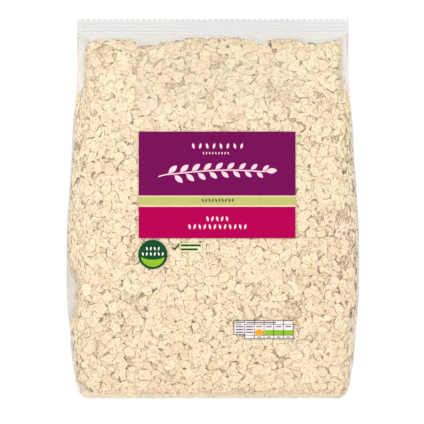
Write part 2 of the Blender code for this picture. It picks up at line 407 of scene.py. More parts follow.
def wall_flakes(rng):
    """The flakes behind the wall film, up to the line where the oats end."""
    x, z = SKIN[..., 0], SKIN[..., 2]
    top = np.interp(x, OATS_TOP[:, 0], OATS_TOP[:, 1])
    column = np.arange(SKIN.shape[1])
    on_right = (column >= FACE_CELLS) & (column < FACE_CELLS + SIDE_CELLS)
    on_side = on_right | (column >= 2 * FACE_CELLS + SIDE_CELLS)
    start = np.full(x.shape, FILM_GAP)
    start += 5.0 * np.exp(-(((z - DENT_MIDDLE) / 14.5) ** 4)) * np.clip((-x - 94.5) / 4.0, 0, 1)
    between_faces = np.clip(2 * np.abs(SKIN[..., 1]) - 0.6, 0.0, DEEPEST_REACH)
    room = np.where(on_side[None, :], DEEPEST_REACH, between_faces)
    beside_fold = (z > 226) & ~on_side[None, :]
    share = np.interp(np.abs(x), (80.0, 84.0, 91.0), (2.0, 1.0, 0.42))
    room = np.where(beside_fold, np.minimum(room, share * np.abs(SKIN[..., 1]) - 0.2), room)
    allowed = (z < top - 0.8) & (z > 1.0) & ~(on_side[None, :] & (z > 228))
    return lay_flakes(SKIN, INWARD, start, room, allowed, FLAKES_WALL, STACKS, rng)


def base_flakes(rng):
    """The flakes that lie on the base, seen only from underneath."""
    x, y = np.meshgrid(np.arange(-91.0, 91.1, CELL), np.arange(-18.5, 18.6, CELL))
    skin = np.stack((x, y, np.full(x.shape, 0.1)), axis=-1)
    inward = np.broadcast_to(np.array((0.0, 0.0, 1.0)), skin.shape)
    start = np.full(x.shape, FILM_GAP)
    past_x, past_y = np.clip((np.abs(x) - 81.0) / 7.5, 0, None), np.clip((np.abs(y) - 10.0) / 6.8, 0, None)
    room = np.where(np.hypot(past_x, past_y) < 1, DEEPEST_REACH, 0.0)
    allowed = (np.abs(x) < 88.5) & (np.abs(y) < 15.8)
    return lay_flakes(skin, inward, start, room, allowed, FLAKES_BASE, STACKS // 16, rng)


def new_object(name, data):
    obj = bpy.data.objects.new(name, data)
    bpy.context.scene.collection.objects.link(obj)
    return obj


def piece_from(name, verts, faces, smooth=True):
    """A mesh object from points in millimetres."""
    mesh = bpy.data.meshes.new(name)
    mesh.from_pydata([tuple(v) for v in np.asarray(verts) * MM], [], faces)
    mesh.update()
    mesh.polygons.foreach_set("use_smooth", [smooth] * len(mesh.polygons))
    return new_object(name, mesh)


def piece_from_bmesh(name, bm):
    mesh = bpy.data.meshes.new(name)
    bm.to_mesh(mesh)
    bm.free()
    return new_object(name, mesh)


def point_values(mesh, name, values, kind="FLOAT"):
    """Give every point of a mesh a value under this name."""
    field = "vector" if kind == "FLOAT_VECTOR" else "value"
    number = np.int32 if kind == "INT" else np.float32
    mesh.attributes.new(name, kind, "POINT").data.foreach_set(field, np.asarray(values, dtype=number).ravel())


def closed_sheet(name, verts, rows, wide):
    """A closed sheet from the points of its one side, row by row, and then those of its other side."""
    per = rows * wide
    faces = []
    for first in (0, per):
        for r in range(rows - 1):
            for c in range(wide - 1):
                a = first + r * wide + c
                quad = (a, a + 1, a + wide + 1, a + wide)
                faces.append(tuple(reversed(quad)) if first else quad)
    rim = list(range(wide)) + [r * wide + wide - 1 for r in range(1, rows)]
    rim += [(rows - 1) * wide + c for c in range(wide - 2, -1, -1)]
    rim += [r * wide for r in range(rows - 2, 0, -1)]
    faces += [(b, a, per + a, per + b) for a, b in zip(rim, rim[1:] + rim[:1])]
    return piece_from(name, verts, faces)


def closed_shell(name, rings):
    """A closed mesh lofted through rings from the base up, its two ends closed flat."""
    count = len(rings[0])
    last = (len(rings) - 1) * count
    faces = [tuple(reversed(range(count))), tuple(range(last, last + count))]
    for a in range(0, last, count):
        for i in range(count):
            j = (i + 1) % count
            faces.append((a + i, a + j, a + count + j, a + count + i))
    return piece_from(name, np.concatenate(rings), faces)


def some_columns(face_step, side_step):
    """Column numbers of the skin, thinned out on the faces and the gussets."""
    front = np.arange(0, FACE_CELLS, face_step)
    side = np.arange(0, SIDE_CELLS, side_step)
    return np.concatenate((
        front, FACE_CELLS + side, FACE_CELLS + SIDE_CELLS + front, 2 * FACE_CELLS + SIDE_CELLS + side,
    ))


# Materials.

WHITE = (1, 1, 1)
FILM_TONE = (0.42, 0.411, 0.387, 1)
PALE_FILM_TONE = (0.88, 0.82, 0.73, 1)


def new_node(nodes, kind, values=(), **settings):
    """A node with these settings; values go into its sockets, by name or number."""
    node = nodes.new(kind)
    for name, value in settings.items():
        setattr(node, name, value)
    for socket, value in dict(values).items():
        node.inputs[socket].default_value = value
    return node


def new_material(name, values):
    """A material with one shader of these values, and its parts."""
    material = bpy.data.materials.new(name)
    material.use_nodes = True
    nodes, links = material.node_tree.nodes, material.node_tree.links
    nodes.clear()
    out = nodes.new("ShaderNodeOutputMaterial")
    shader = new_node(nodes, "ShaderNodeBsdfPrincipled", values)
    links.new(shader.outputs["BSDF"], out.inputs["Surface"])
    return material, nodes, links, shader, out


def attribute(nodes, name):
    return new_node(nodes, "ShaderNodeAttribute", attribute_name=name).outputs


def place_in_object(nodes):
    return nodes.new("ShaderNodeTexCoord").outputs["Object"]


def noise(nodes, links, vector, scale, detail):
    node = new_node(nodes, "ShaderNodeTexNoise", {"Scale": scale, "Detail": detail})
    links.new(vector, node.inputs["Vector"])
    return node.outputs["Fac"]


def coloured(nodes, links, factor, *stops):
    """A colour for every value of factor; a stop is a value and its colour."""
    node = nodes.new("ShaderNodeValToRGB")
    ramp = node.color_ramp.elements
    for end in (0, -1):
        position, colour = stops[end]
        ramp[end].position, ramp[end].color = position, (*colour, 1)
    for position, colour in stops[1:-1]:
        ramp.new(position).color = (*colour, 1)
    links.new(factor, node.inputs["Fac"])
    return node.outputs["Color"]


def darkened(nodes, links, colour, by, factor=None):
    """A colour multiplied by another, wholly or as far as factor says."""
    node = new_node(nodes, "ShaderNodeMix", data_type="RGBA", blend_type="MULTIPLY")
    node.inputs["Factor"].default_value = 1.0
    if factor is not None:
        links.new(factor, node.inputs["Factor"])
    links.new(colour, node.inputs["A"])
    links.new(by, node.inputs["B"])
    return node.outputs["Result"]


def flake_material():
    """Cream, each flake its own shade, with a mottle, dark crease and crack lines that are partly bran colour
    and partly painted shade, and brown parts of its rim, partly bran and partly painted shade for the shadow
    lines where flakes overlap.
    """
    material, nodes, links, shader, _ = new_material(
        "oat flake", {"Roughness": 0.75, "Specular IOR Level": 0.25})
    shade, on_flake = attribute(nodes, "shade")["Fac"], attribute(nodes, "on_flake")["Vector"]
    colour = coloured(
        nodes, links, shade,
        (0.0, (0.76, 0.58, 0.36)), (0.35, (0.93, 0.79, 0.572)), (1.0, (0.96, 0.847, 0.643)))
    mottle = noise(nodes, links, on_flake, 2.2, 3.0)
    mottle = coloured(nodes, links, mottle, (0.3, (0.94, 0.91, 0.85)), (0.65, WHITE))
    colour = darkened(nodes, links, colour, mottle)

    # Stretched along the flake, and elsewhere in the noise for each shade.
    apart = new_node(nodes, "ShaderNodeVectorMath", {0: (31.0, 47.0, 23.0)}, operation="SCALE")
    links.new(shade, apart.inputs["Scale"])
    stretch = new_node(nodes, "ShaderNodeVectorMath", {1: (0.9, 2.6, 1.0)}, operation="MULTIPLY_ADD")
    links.new(on_flake, stretch.inputs[0])
    links.new(apart.outputs["Vector"], stretch.inputs[2])
    place = stretch.outputs["Vector"]
    # Dark crease and crack lines: partly the bran colour of the crease, partly painted shade of creases and
    # cracks.
    crease = noise(nodes, links, place, 1.3, 2.5)
    crease = coloured(nodes, links, crease, (0.485, WHITE), (0.505, (0.36, 0.22, 0.10)), (0.525, WHITE))
    colour = darkened(nodes, links, colour, crease)

    hue = noise(nodes, links, place_in_object(nodes), 75.0, 1.0)
    hue = coloured(nodes, links, hue, (0.3, (1.0, 0.965, 0.98)), (0.7, (0.99, 0.995, 0.93)))
    colour = darkened(nodes, links, colour, hue)

    # Painted shade: the rim is darkened brown only in patches, partly as the bran edge and partly as the thin
    # shadow lines where flakes overlap.
    rim_bran_and_shade_mask = new_node(nodes, "ShaderNodeMapRange", {"From Min": 0.48, "From Max": 0.55})
    links.new(noise(nodes, links, place, 0.9, 1.0), rim_bran_and_shade_mask.inputs["Value"])
    rim = coloured(nodes, links, attribute(nodes, "edge")["Fac"], (0.79, WHITE), (0.91, (0.22, 0.113, 0.033)))
    colour = darkened(nodes, links, colour, rim, rim_bran_and_shade_mask.outputs["Result"])
    links.new(colour, shader.inputs["Base Color"])
    return material


def shaded_core_material():
    material, nodes, links, shader, _ = new_material("oats behind", {"Roughness": 0.9})
    cells = new_node(nodes, "ShaderNodeTexVoronoi", {"Scale": 170.0})
    links.new(place_in_object(nodes), cells.inputs["Vector"])
    # Painted shade: darker and browner than the flakes, as the deep gaps between them look in shade.
    colour = coloured(
        nodes, links, cells.outputs["Distance"], (0.0, (0.92, 0.75, 0.50)), (0.7, (0.78, 0.58, 0.34)))
    links.new(colour, shader.inputs["Base Color"])
    return material


def film_material(name, haze, edge_haze):
    """Clear film, hazier where it turns away.

    The value veil makes a point's haze stronger, frost adds to it, and pale lightens it.
    """
    material, nodes, links, shader, out = new_material(name, {"Base Color": FILM_TONE, "Roughness": 0.16})
    weight = new_node(nodes, "ShaderNodeLayerWeight", {"Blend": 0.25})
    amount = new_node(nodes, "ShaderNodeMapRange", {"To Min": haze, "To Max": edge_haze})
    links.new(weight.outputs["Facing"], amount.inputs["Value"])
    veiled = new_node(nodes, "ShaderNodeMath", operation="MULTIPLY", use_clamp=True)
    links.new(amount.outputs["Result"], veiled.inputs[0])
    links.new(attribute(nodes, "veil")["Fac"], veiled.inputs[1])
    frosted = new_node(nodes, "ShaderNodeMath", operation="ADD", use_clamp=True)
    links.new(veiled.outputs["Value"], frosted.inputs[0])
    links.new(attribute(nodes, "frost")["Fac"], frosted.inputs[1])
    tone = new_node(nodes, "ShaderNodeMix", data_type="RGBA")
    tone.inputs["A"].default_value = FILM_TONE
    tone.inputs["B"].default_value = PALE_FILM_TONE
    links.new(attribute(nodes, "pale")["Fac"], tone.inputs["Factor"])
    links.new(tone.outputs["Result"], shader.inputs["Base Color"])
    bump = new_node(nodes, "ShaderNodeBump", {"Strength": 0.07, "Distance": 0.001})
    links.new(noise(nodes, links, place_in_object(nodes), 110.0, 2.0), bump.inputs["Height"])
    links.new(bump.outputs["Normal"], shader.inputs["Normal"])
    mix, clear = nodes.new("ShaderNodeMixShader"), nodes.new("ShaderNodeBsdfTransparent")
    links.new(frosted.outputs["Value"], mix.inputs["Fac"])
    links.new(clear.outputs["BSDF"], mix.inputs[1])
    links.new(shader.outputs["BSDF"], mix.inputs[2])
    links.new(mix.outputs["Shader"], out.inputs["Surface"])
    return material


def ink(name, colour):
    """Flat print of one colour, with a fine grain in it."""
    material, nodes, links, shader, _ = new_material(name, {"Roughness": 0.45, "Specular IOR Level": 0.02})
    dark, light = [c * 0.93 for c in colour], [min(c * 1.05, 1) for c in colour]
    speckle = noise(nodes, links, place_in_object(nodes), 400.0, 2.0)
    links.new(coloured(nodes, links, speckle, (0.0, dark), (1.0, light)), shader.inputs["Base Color"])
    return material


# The oats, the film and the seal.

def make_flake(name, seed):
    """One rolled oat, 2 long, 2 wide and 1 thick before it is sized, its good side up."""
    rng = np.random.default_rng(seed)
    count, inner = 12, 6
    corners = int(rng.integers(4, 7))
    off = rng.uniform(-0.32, 0.32, corners)
    corner_angle = np.sort((np.arange(corners) + off) / corners * 2 * math.pi)
    corner_reach = rng.uniform(0.72, 1.16, corners)
    loop = np.stack((np.cos(corner_angle), np.sin(corner_angle)), axis=1) * corner_reach[:, None]
    loop = np.concatenate((loop, loop[:1]))
    steps = np.linspace(0, corners, count, endpoint=False) + 0.35
    steps = np.where(steps >= corners, steps - corners, steps)
    steps.sort()
    low = steps.astype(int)
    part = (steps - low)[:, None]
    rim = loop[low] * (1 - part) + loop[low + 1] * part
    rim *= (1 + 0.15 * part * (1 - part)) * (1 + 0.04 * rng.standard_normal((count, 1)))
    if rng.random() < 0.5:
        rim[rng.integers(0, count)] *= 0.8
    rim *= FLAKE_REACH / np.linalg.norm(rim, axis=1).max()
    dish = rng.uniform(-0.3, 0.3)
    verts = [(x * 0.97, y * 0.97, -0.5 + 0.12 * rng.random()) for x, y in rim]
    verts += [(x, y, 0.30 + 0.12 * rng.random() - dish * 0.5) for x, y in rim]
    for i in range(inner):
        x, y = rim[2 * i] * 0.55
        verts.append((x, y, 0.42 + dish * 0.3 + 0.12 * rng.standard_normal()))
    faces = [tuple(reversed(range(count))), tuple(2 * count + i for i in range(inner))]
    for i in range(count):
        j = (i + 1) % count
        faces.append((i, j, count + j, count + i))
    for i in range(inner):
        a, b, c = count + 2 * i, count + 2 * i + 1, count + (2 * i + 2) % count
        p, q = 2 * count + i, 2 * count + (i + 1) % inner
        faces += [(a, b, p), (b, q, p), (b, c, q)]
    mesh = bpy.data.meshes.new(name)
    mesh.from_pydata(verts, [], faces)
    mesh.update()
    point_values(mesh, "on_flake", verts, "FLOAT_VECTOR")
    point_values(mesh, "edge", [0.55] * count + [1.0] * count + [0.0] * inner)
    sharp = mesh.attributes.new("sharp_edge", "BOOLEAN", "EDGE")
    sharp.data.foreach_set("value", [max(e.vertices) < 2 * count for e in mesh.edges])
    mesh.polygons.foreach_set("use_smooth", [True] * len(mesh.polygons))
    return new_object(name, mesh)


def scatter_tree(name, flake_objects, material):
    """Puts one of the flake shapes on each point, turned and sized by the point's own values."""
    tree = bpy.data.node_groups.new(name, "GeometryNodeTree")
    tree.interface.new_socket("Points", in_out="INPUT", socket_type="NodeSocketGeometry")
    tree.interface.new_socket("Flakes", in_out="OUTPUT", socket_type="NodeSocketGeometry")
    size = tree.interface.new_socket("Flake size", in_out="INPUT", socket_type="NodeSocketFloat")
    size.default_value = 1.0
    nodes, links = tree.nodes, tree.links
    given, made = nodes.new("NodeGroupInput"), nodes.new("NodeGroupOutput")

    def named(attribute, kind):
        node = nodes.new("GeometryNodeInputNamedAttribute")
        node.data_type = kind
        node.inputs["Name"].default_value = attribute
        return node.outputs["Attribute"]

    shapes = nodes.new("GeometryNodeJoinGeometry")
    for obj in reversed(flake_objects):
        info = nodes.new("GeometryNodeObjectInfo")
        info.inputs["Object"].default_value = obj
        info.inputs["As Instance"].default_value = True
        links.new(info.outputs["Geometry"], shapes.inputs["Geometry"])
    put = nodes.new("GeometryNodeInstanceOnPoints")
    put.inputs["Pick Instance"].default_value = True
    links.new(given.outputs["Points"], put.inputs["Points"])
    links.new(shapes.outputs["Geometry"], put.inputs["Instance"])
    links.new(named("shape", "INT"), put.inputs["Instance Index"])
    turn = nodes.new("FunctionNodeEulerToRotation")
    links.new(named("turn", "FLOAT_VECTOR"), turn.inputs["Euler"])
    links.new(turn.outputs["Rotation"], put.inputs["Rotation"])
    grow = nodes.new("ShaderNodeVectorMath")
    grow.operation = "SCALE"
    links.new(named("size", "FLOAT_VECTOR"), grow.inputs["Vector"])
    links.new(given.outputs["Flake size"], grow.inputs["Scale"])
    links.new(grow.outputs["Vector"], put.inputs["Scale"])
    real = nodes.new("GeometryNodeRealizeInstances")
    links.new(put.outputs["Instances"], real.inputs["Geometry"])
    paint = nodes.new("GeometryNodeSetMaterial")
    paint.inputs["Material"].default_value = material
    links.new(real.outputs["Geometry"], paint.inputs["Geometry"])
    links.new(paint.outputs["Geometry"], made.inputs["Flakes"])
    return tree, size.identifier


def made_plain(obj, name):
    """The evaluated object as a plain mesh object of its own."""
    depsgraph = bpy.context.evaluated_depsgraph_get()
    mesh = bpy.data.meshes.new_from_object(obj.evaluated_get(depsgraph), depsgraph=depsgraph)
    mesh.name = name
    return new_object(name, mesh)


def flakes_piece(name, placed, tree, size_id, rng, shapes):
    """One piece of separate flakes, a shape and a shade drawn for each."""
    mesh = bpy.data.meshes.new(name + "_points")
    mesh.from_pydata([tuple(p[0] * MM) for p in placed], [], [])
    mesh.update()
    turns = [tuple(Matrix(p[1:4]).transposed().to_euler()) for p in placed]
    point_values(mesh, "turn", turns, "FLOAT_VECTOR")
    point_values(mesh, "size", [[side * MM for side in p[4]] for p in placed], "FLOAT_VECTOR")
    point_values(mesh, "shape", rng.integers(0, shapes, len(placed)), "INT")
    point_values(mesh, "shade", np.clip(rng.normal(0.6, 0.18, len(placed)), 0.12, 1))
    holder = new_object(name + "_points", mesh)
    modifier = holder.modifiers.new("scatter", "NODES")
    modifier.node_group = tree
    modifier[size_id] = 1.0
    piece = made_plain(holder, name)
    bpy.data.objects.remove(holder, do_unlink=True)
    return piece


def make_flakes():
    """All the separate flakes, three pieces in front and three behind."""
    rng = np.random.default_rng(41)
    placed = wall_flakes(rng)
    placed += base_flakes(rng)
    shapes = [make_flake("flake_%d" % i, 100 + i) for i in range(16)]
    tree, size_id = scatter_tree("scatter flakes", shapes, flake_material())
    front = [p for p in placed if p[0][1] < 0]
    back = [p for p in placed if p[0][1] >= 0]
    pieces = []
    for name, group in (("oats_front", front), ("oats_back", back)):
        third = len(group) // 3
        for k, part in enumerate((group[:third], group[third:2 * third], group[2 * third:])):
            pieces.append(flakes_piece("%s_%d" % (name, k + 1), part, tree, size_id, rng, len(shapes)))
    for obj in shapes:
        bpy.data.objects.remove(obj, do_unlink=True)
    return pieces


def make_core():
    """A closed body behind the flakes, so that no gap shows through the bag, in a darker oat brown as painted
    shade of the deep gaps.
    """
    columns = some_columns(10, 7)
    bend, end = 235.0, 250.6
    rings = []
    for r in range(0, len(SKIN), 10):
        height = SKIN[r, 0, 2]
        if not 3.0 < height < end:
            continue
        ring = SKIN[r, columns].copy()
        wide, deep = np.abs(SKIN[r, :, 0]).max(), np.abs(SKIN[r, :, 1]).max()
        half = np.interp(height, (182.0, 206.0), (wide - 5.0, 86.5))
        dent = 6.0 * math.exp(-(((height - DENT_MIDDLE) / 17) ** 4))
        ring[:, 0] *= np.where(ring[:, 0] < 0, half - dent, half) / wide
        ring[:, 1] *= (deep - 2.3) / deep
        # Above the bend, the rings follow the line where the oats end.
        top = np.interp(ring[:, 0], OATS_TOP[:, 0], OATS_TOP[:, 1]) - 2.8
        rise = max(height - bend, 0.0)
        ring[:, 2] = min(height, bend) + rise * (top - bend) / (end - bend)
        rings.append(ring)
    core = closed_shell("oats_core", rings)
    core.data.materials.append(shaded_core_material())
    return core


def make_film():
    """The clear film all around, hazy at the top, the creases, the base and the dent, with a pale painted
    sheen over the upper part of the faces.
    """
    columns = some_columns(4, 4)
    rows = list(range(0, len(SKIN), 3))
    if rows[-1] != len(SKIN) - 1:
        rows.append(len(SKIN) - 1)
    film = closed_shell("film", [SKIN[r, columns] for r in rows])
    place = np.array([v.co for v in film.data.vertices]) / MM
    crease = np.interp(place[:, 2], SECTIONS[:, 0], SECTIONS[:, 2])
    folded_in = (np.abs(place[:, 1]) < crease - 0.4) & (np.abs(place[:, 0]) > 60)
    x, z = place[:, 0], place[:, 2]
    at_top = np.clip((z - np.interp(x, OATS_TOP[:, 0], OATS_TOP[:, 1]) + 1.0) / 3.0, 0, 1)
    strip = np.clip((z - 206.0) / 12.0, 0, 1) * np.clip((np.abs(x) - 86.5) / 5.0, 0, 1)
    dent = np.exp(-(((z - DENT_MIDDLE) / 15.0) ** 4)) * np.clip((-x - 93.0) / 3.0, 0, 1)
    veil = 1.0 + np.maximum(at_top, np.interp(z, (236, 244), (1.9, 1.0)) * strip) + 0.8 * dent
    veil = np.where(folded_in & (z > 200), 0.25, veil)
    veil = np.where(z < 2.5, 0.35, veil)
    left_corner = np.clip(2.2 * ((-x - 82.0) / 13.0 + (9.0 - z) / 10.0 - 0.35), 0, 1)
    right_corner = np.clip(2.2 * ((x - 86.0) / 8.0 + (6.0 - z) / 7.0 - 0.5), 0, 1)
    frost = 0.30 * left_corner * (x < 0) * (z < 12)
    frost = np.maximum(frost, 0.28 * right_corner * (x > 0) * (z < 9))
    frost = np.maximum(frost, 0.62 * np.clip(1 - z / 4.8, 0, 1) * np.clip((94.0 - np.abs(x)) / 8.0, 0.45, 1))
    frost = np.maximum(frost, 0.20 * np.maximum(at_top, strip))
    frost = np.maximum(frost, 0.12 * dent)
    veil, frost = np.where(z > 255.2, 0.3, veil), np.where(z > 255.2, 0.0, frost)
    # Painted sheen: over the upper part of the faces the haze is paler and a little thicker, as the light
    # that the sloping film catches there.
    upper = np.clip((z - 188.0) / 24.0, 0, 1) * np.clip((246.0 - z) / 10.0, 0, 1)
    upper = upper * np.clip((88.0 - np.abs(x)) / 40.0, 0, 1)
    pale = np.maximum(np.clip(frost / 0.3, 0, 1), np.clip(1.2 * upper, 0, 0.5))
    frost = np.maximum(frost, 0.10 * upper)
    for name, value in (("veil", veil), ("frost", frost), ("pale", pale)):
        point_values(film.data, name, value)
    film.data.materials.append(film_material("clear film", 0.105, 0.6))
    return film


def make_back_seam():
    """The lap seam that runs up the back film, welded along both edges."""
    heights = np.linspace(1.0, 256.5, 120)
    across = np.array((-6.0, -5.2, -4.4, -3.0, 0.0, 3.0, 4.4, 5.2, 6.0))
    lift = np.array((0.05, 0.40, 0.34, 0.36, 0.36, 0.36, 0.34, 0.40, 0.05))
    verts = []
    for side_lift in (lift, np.full(len(across), 0.03)):
        for z in heights:
            row = front_points(across, np.full(len(across), min(z, 255.6)), side_lift)
            verts += [(-x, -y, z) for x, y, _ in row]
    seam = closed_sheet("back_seam", verts, len(heights), len(across))
    height = np.array([v.co.z for v in seam.data.vertices]) / MM
    point_values(seam.data, "veil", np.interp(height, (238, 246), (1.0, 0.04)))
    point_values(seam.data, "frost", height * 0)
    seam.data.materials.append(film_material("seam film", 0.06, 0.25))
    return seam


def make_seal():
    """The crimped band with its toothed edge, flat in the middle of its length, with painted shade lines
    along its crimps.
    """
    teeth, half, low = 49, 94.9, SEAL_LOW - 0.15
    tooth_depth, crimp_depth, crimp_pitch, half_thickness = 1.3, 0.35, 2.3, 0.12
    columns, rows = teeth * 4 + 1, 41
    verts = []
    for side in (-1, 1):
        for r in range(rows):
            t = r / (rows - 1)
            for c in range(columns):
                x = -half + 2 * half * c / (columns - 1)
                tooth = abs(((c + 2) % 4) - 2) / 2
                top = SEAL_TOP - tooth_depth * tooth
                z = low + (top - low) * t
                strength = np.interp(x, (-95, -40, -15, 20, 60, 95), (1, 0.8, 0.25, 0.2, 0.7, 1.0))
                wave = math.sin((z - 256.6) / crimp_pitch * 2 * math.pi) * min(1, (z - low) / 1.0)
                verts.append((x, crimp_depth * strength * wave + side * half_thickness, z))
    seal = closed_sheet("seal_band", verts, rows, columns)
    place = np.array([v.co for v in seal.data.vertices]) / MM
    strong = np.interp(place[:, 0], (-95, -45, -30, -12, 55, 66, 95), (1, 1, 0.6, 0.05, 0.05, 0.9, 1))
    veil = 1.0 + 0.22 * np.clip((place[:, 2] - 263.4) / 1.8, 0, 1)
    # Painted shade: the haze is thicker in three bands along the crimps, as dark lines where the crimped film
    # turns from the light, and a little thinner between them.
    for middle in (257.3, 259.8, 262.3):
        veil += (0.55 * np.exp(-(((place[:, 2] - middle) / 0.4) ** 2)) - 0.11) * strong
    point_values(seal.data, "veil", veil)
    point_values(seal.data, "frost", veil * 0)
    seal.data.materials.append(film_material("crimped film", 0.242, 0.7))
    return seal


# The print.

# All print is this thick, in millimetres.
PRINT_THICKNESS = 0.06


def front_points(x, z, lift):
    """Points on the front film at many x and z, lift millimetres off it."""
    rows = np.interp(z, SKIN[:, 0, 2], np.arange(len(SKIN)))
    result = []
    for px, pz, row, off in zip(x, z, rows, lift):
        r = min(int(row), len(SKIN) - 2)
        y = [np.interp(px, SKIN[k, : FACE_CELLS + 1, 0], SKIN[k, : FACE_CELLS + 1, 1]) for k in (r, r + 1)]
        result.append((px, y[0] + (y[1] - y[0]) * (row - r) - off, pz))
    return np.asarray(result)


def lay_on_film(obj, lift):
    """Bend a flat piece, drawn in the XZ plane with its thickness along -Y, onto the front film."""
    mesh = obj.data
    flat = np.empty(len(mesh.vertices) * 3, dtype=np.float64)
    mesh.vertices.foreach_get("co", flat)
    flat = flat.reshape(-1, 3) / MM
    laid = front_points(flat[:, 0], flat[:, 2], lift - flat[:, 1])
    mesh.vertices.foreach_set("co", (laid * MM).ravel())
    mesh.update()
    return obj


def flat_piece(name, shapes, lift, material):
    """Closed thin shapes laid on the front film.

    A shape is a list of (x, z) points, or ("bar", x0, x1, z0, z1).
    """
    bm = bmesh.new()
    for shape in shapes:
        if shape[0] == "bar":
            _, x0, x1, z0, z1 = shape
            nx, nz = max(1, round((x1 - x0) / 3.0)), max(1, round((z1 - z0) / 3.0))
            made = bmesh.ops.create_grid(bm, x_segments=nx, y_segments=nz, size=0.5)["verts"]
            for vert in made:
                x, z = x0 + (vert.co.x + 0.5) * (x1 - x0), z0 + (vert.co.y + 0.5) * (z1 - z0)
                vert.co = (x * MM, 0.0, z * MM)
            faces = list({face for vert in made for face in vert.link_faces})
        else:
            faces = [bm.faces.new([bm.verts.new((x * MM, 0.0, z * MM)) for x, z in shape])]
        for face in faces:
            face.normal_update()
        if sum(face.normal.y for face in faces) > 0:
            bmesh.ops.reverse_faces(bm, faces=faces)
        back = bmesh.ops.duplicate(bm, geom=faces)["geom"]
        back_faces = [g for g in back if isinstance(g, bmesh.types.BMFace)]
        bmesh.ops.reverse_faces(bm, faces=back_faces)
        for vert in {v for face in faces for v in face.verts}:
            vert.co.y = -PRINT_THICKNESS * MM
        loose = [e for face in faces + back_faces for e in face.edges if e.is_boundary]
        bmesh.ops.bridge_loops(bm, edges=list(dict.fromkeys(loose)))
    bmesh.ops.recalc_face_normals(bm, faces=bm.faces)
    obj = piece_from_bmesh(name, bm)
    obj.data.materials.append(material)
    return lay_on_film(obj, lift)


def circle(x, z, radius, count=40):
    turns = [2 * math.pi * i / count for i in range(count)]
    return [(x + radius * math.cos(turn), z + radius * math.sin(turn)) for turn in turns]


def grain(x, z, length, width, lean, count=5):
    """A pointed oat grain, lean radians off upright."""
    half = [
        (width / 2 * math.sin(math.pi * i / count) ** 0.8, -length / 2 + length * i / count)
        for i in range(count + 1)
    ]
    outline = half + [(-u, v) for u, v in reversed(half[1:-1])]
    c, s = math.cos(lean), math.sin(lean)
    return [(x + u * c + v * s, z - u * s + v * c) for u, v in outline]


def grain_row(x0, x1, z, height, count):
    """A plain row of small upright grains."""
    step = (x1 - x0) / count
    return [
        grain(x0 + step * (i + 0.5), z, height, height * 0.42, 0.25 if i % 2 else -0.25)
        for i in range(count)
    ]


def sprig_tree(grain_object, stalk_object, material):
    """An oat sprig along X: grains and stalks on alternate sides of a stem."""
    tree = bpy.data.node_groups.new("oat sprig", "GeometryNodeTree")
    tree.interface.new_socket("Stem", in_out="INPUT", socket_type="NodeSocketGeometry")
    tree.interface.new_socket("Sprig", in_out="OUTPUT", socket_type="NodeSocketGeometry")
    names = {}
    for name, kind, value in (
        ("Grains", "NodeSocketInt", 18), ("Spread", "NodeSocketFloat", 0.9),
        ("Grain size", "NodeSocketFloat", 1.0),
    ):
        socket = tree.interface.new_socket(name, in_out="INPUT", socket_type=kind)
        socket.default_value = value
        names[name] = socket.identifier
    nodes, links = tree.nodes, tree.links
    given, made = nodes.new("NodeGroupInput"), nodes.new("NodeGroupOutput")

    def maths(operation, *values):
        node = new_node(nodes, "ShaderNodeMath", operation=operation)
        for socket, value in zip(node.inputs, values):
            if isinstance(value, float):
                socket.default_value = value
            else:
                links.new(value, socket)
        return node.outputs["Value"]

    points = new_node(nodes, "GeometryNodeCurveToPoints", mode="COUNT")
    links.new(given.outputs["Stem"], points.inputs["Curve"])
    links.new(given.outputs["Grains"], points.inputs["Count"])
    index = nodes.new("GeometryNodeInputIndex").outputs["Index"]
    side = maths("MULTIPLY_ADD", maths("MODULO", index, 2.0), 2.0, -1.0)
    turn = nodes.new("ShaderNodeCombineXYZ")
    links.new(maths("MULTIPLY", side, given.outputs["Spread"]), turn.inputs["Y"])
    size = new_node(nodes, "ShaderNodeMapRange", {"To Min": 1.0, "To Max": 0.7})
    links.new(maths("DIVIDE", index, given.outputs["Grains"]), size.inputs["Value"])
    grow = maths("MULTIPLY", size.outputs["Result"], given.outputs["Grain size"])
    joined = nodes.new("GeometryNodeJoinGeometry")
    for shape in (grain_object, stalk_object):
        info = new_node(nodes, "GeometryNodeObjectInfo", {"Object": shape})
        put = nodes.new("GeometryNodeInstanceOnPoints")
        links.new(points.outputs["Points"], put.inputs["Points"])
        links.new(info.outputs["Geometry"], put.inputs["Instance"])
        links.new(turn.outputs["Vector"], put.inputs["Rotation"])
        links.new(grow, put.inputs["Scale"])
        links.new(put.outputs["Instances"], joined.inputs["Geometry"])
    real = nodes.new("GeometryNodeRealizeInstances")
    links.new(joined.outputs["Geometry"], real.inputs["Geometry"])
    paint = new_node(nodes, "GeometryNodeSetMaterial", {"Material": material})
    links.new(real.outputs["Geometry"], paint.inputs["Geometry"])
    links.new(paint.outputs["Geometry"], made.inputs["Sprig"])
    return tree, names


def thin_shape(name, outline):
    """A closed thin shape in the XZ plane, millimetres in, metres out, its face to -Y."""
    bm = bmesh.new()
    low = bm.faces.new([bm.verts.new((x * MM, 0.0, z * MM)) for x, z in outline])
    top = bmesh.ops.extrude_face_region(bm, geom=[low])["geom"]
    moved = [g for g in top if isinstance(g, bmesh.types.BMVert)]
    bmesh.ops.translate(bm, vec=(0, -PRINT_THICKNESS * MM, 0), verts=moved)
    bmesh.ops.recalc_face_normals(bm, faces=bm.faces)
    return piece_from_bmesh(name, bm)


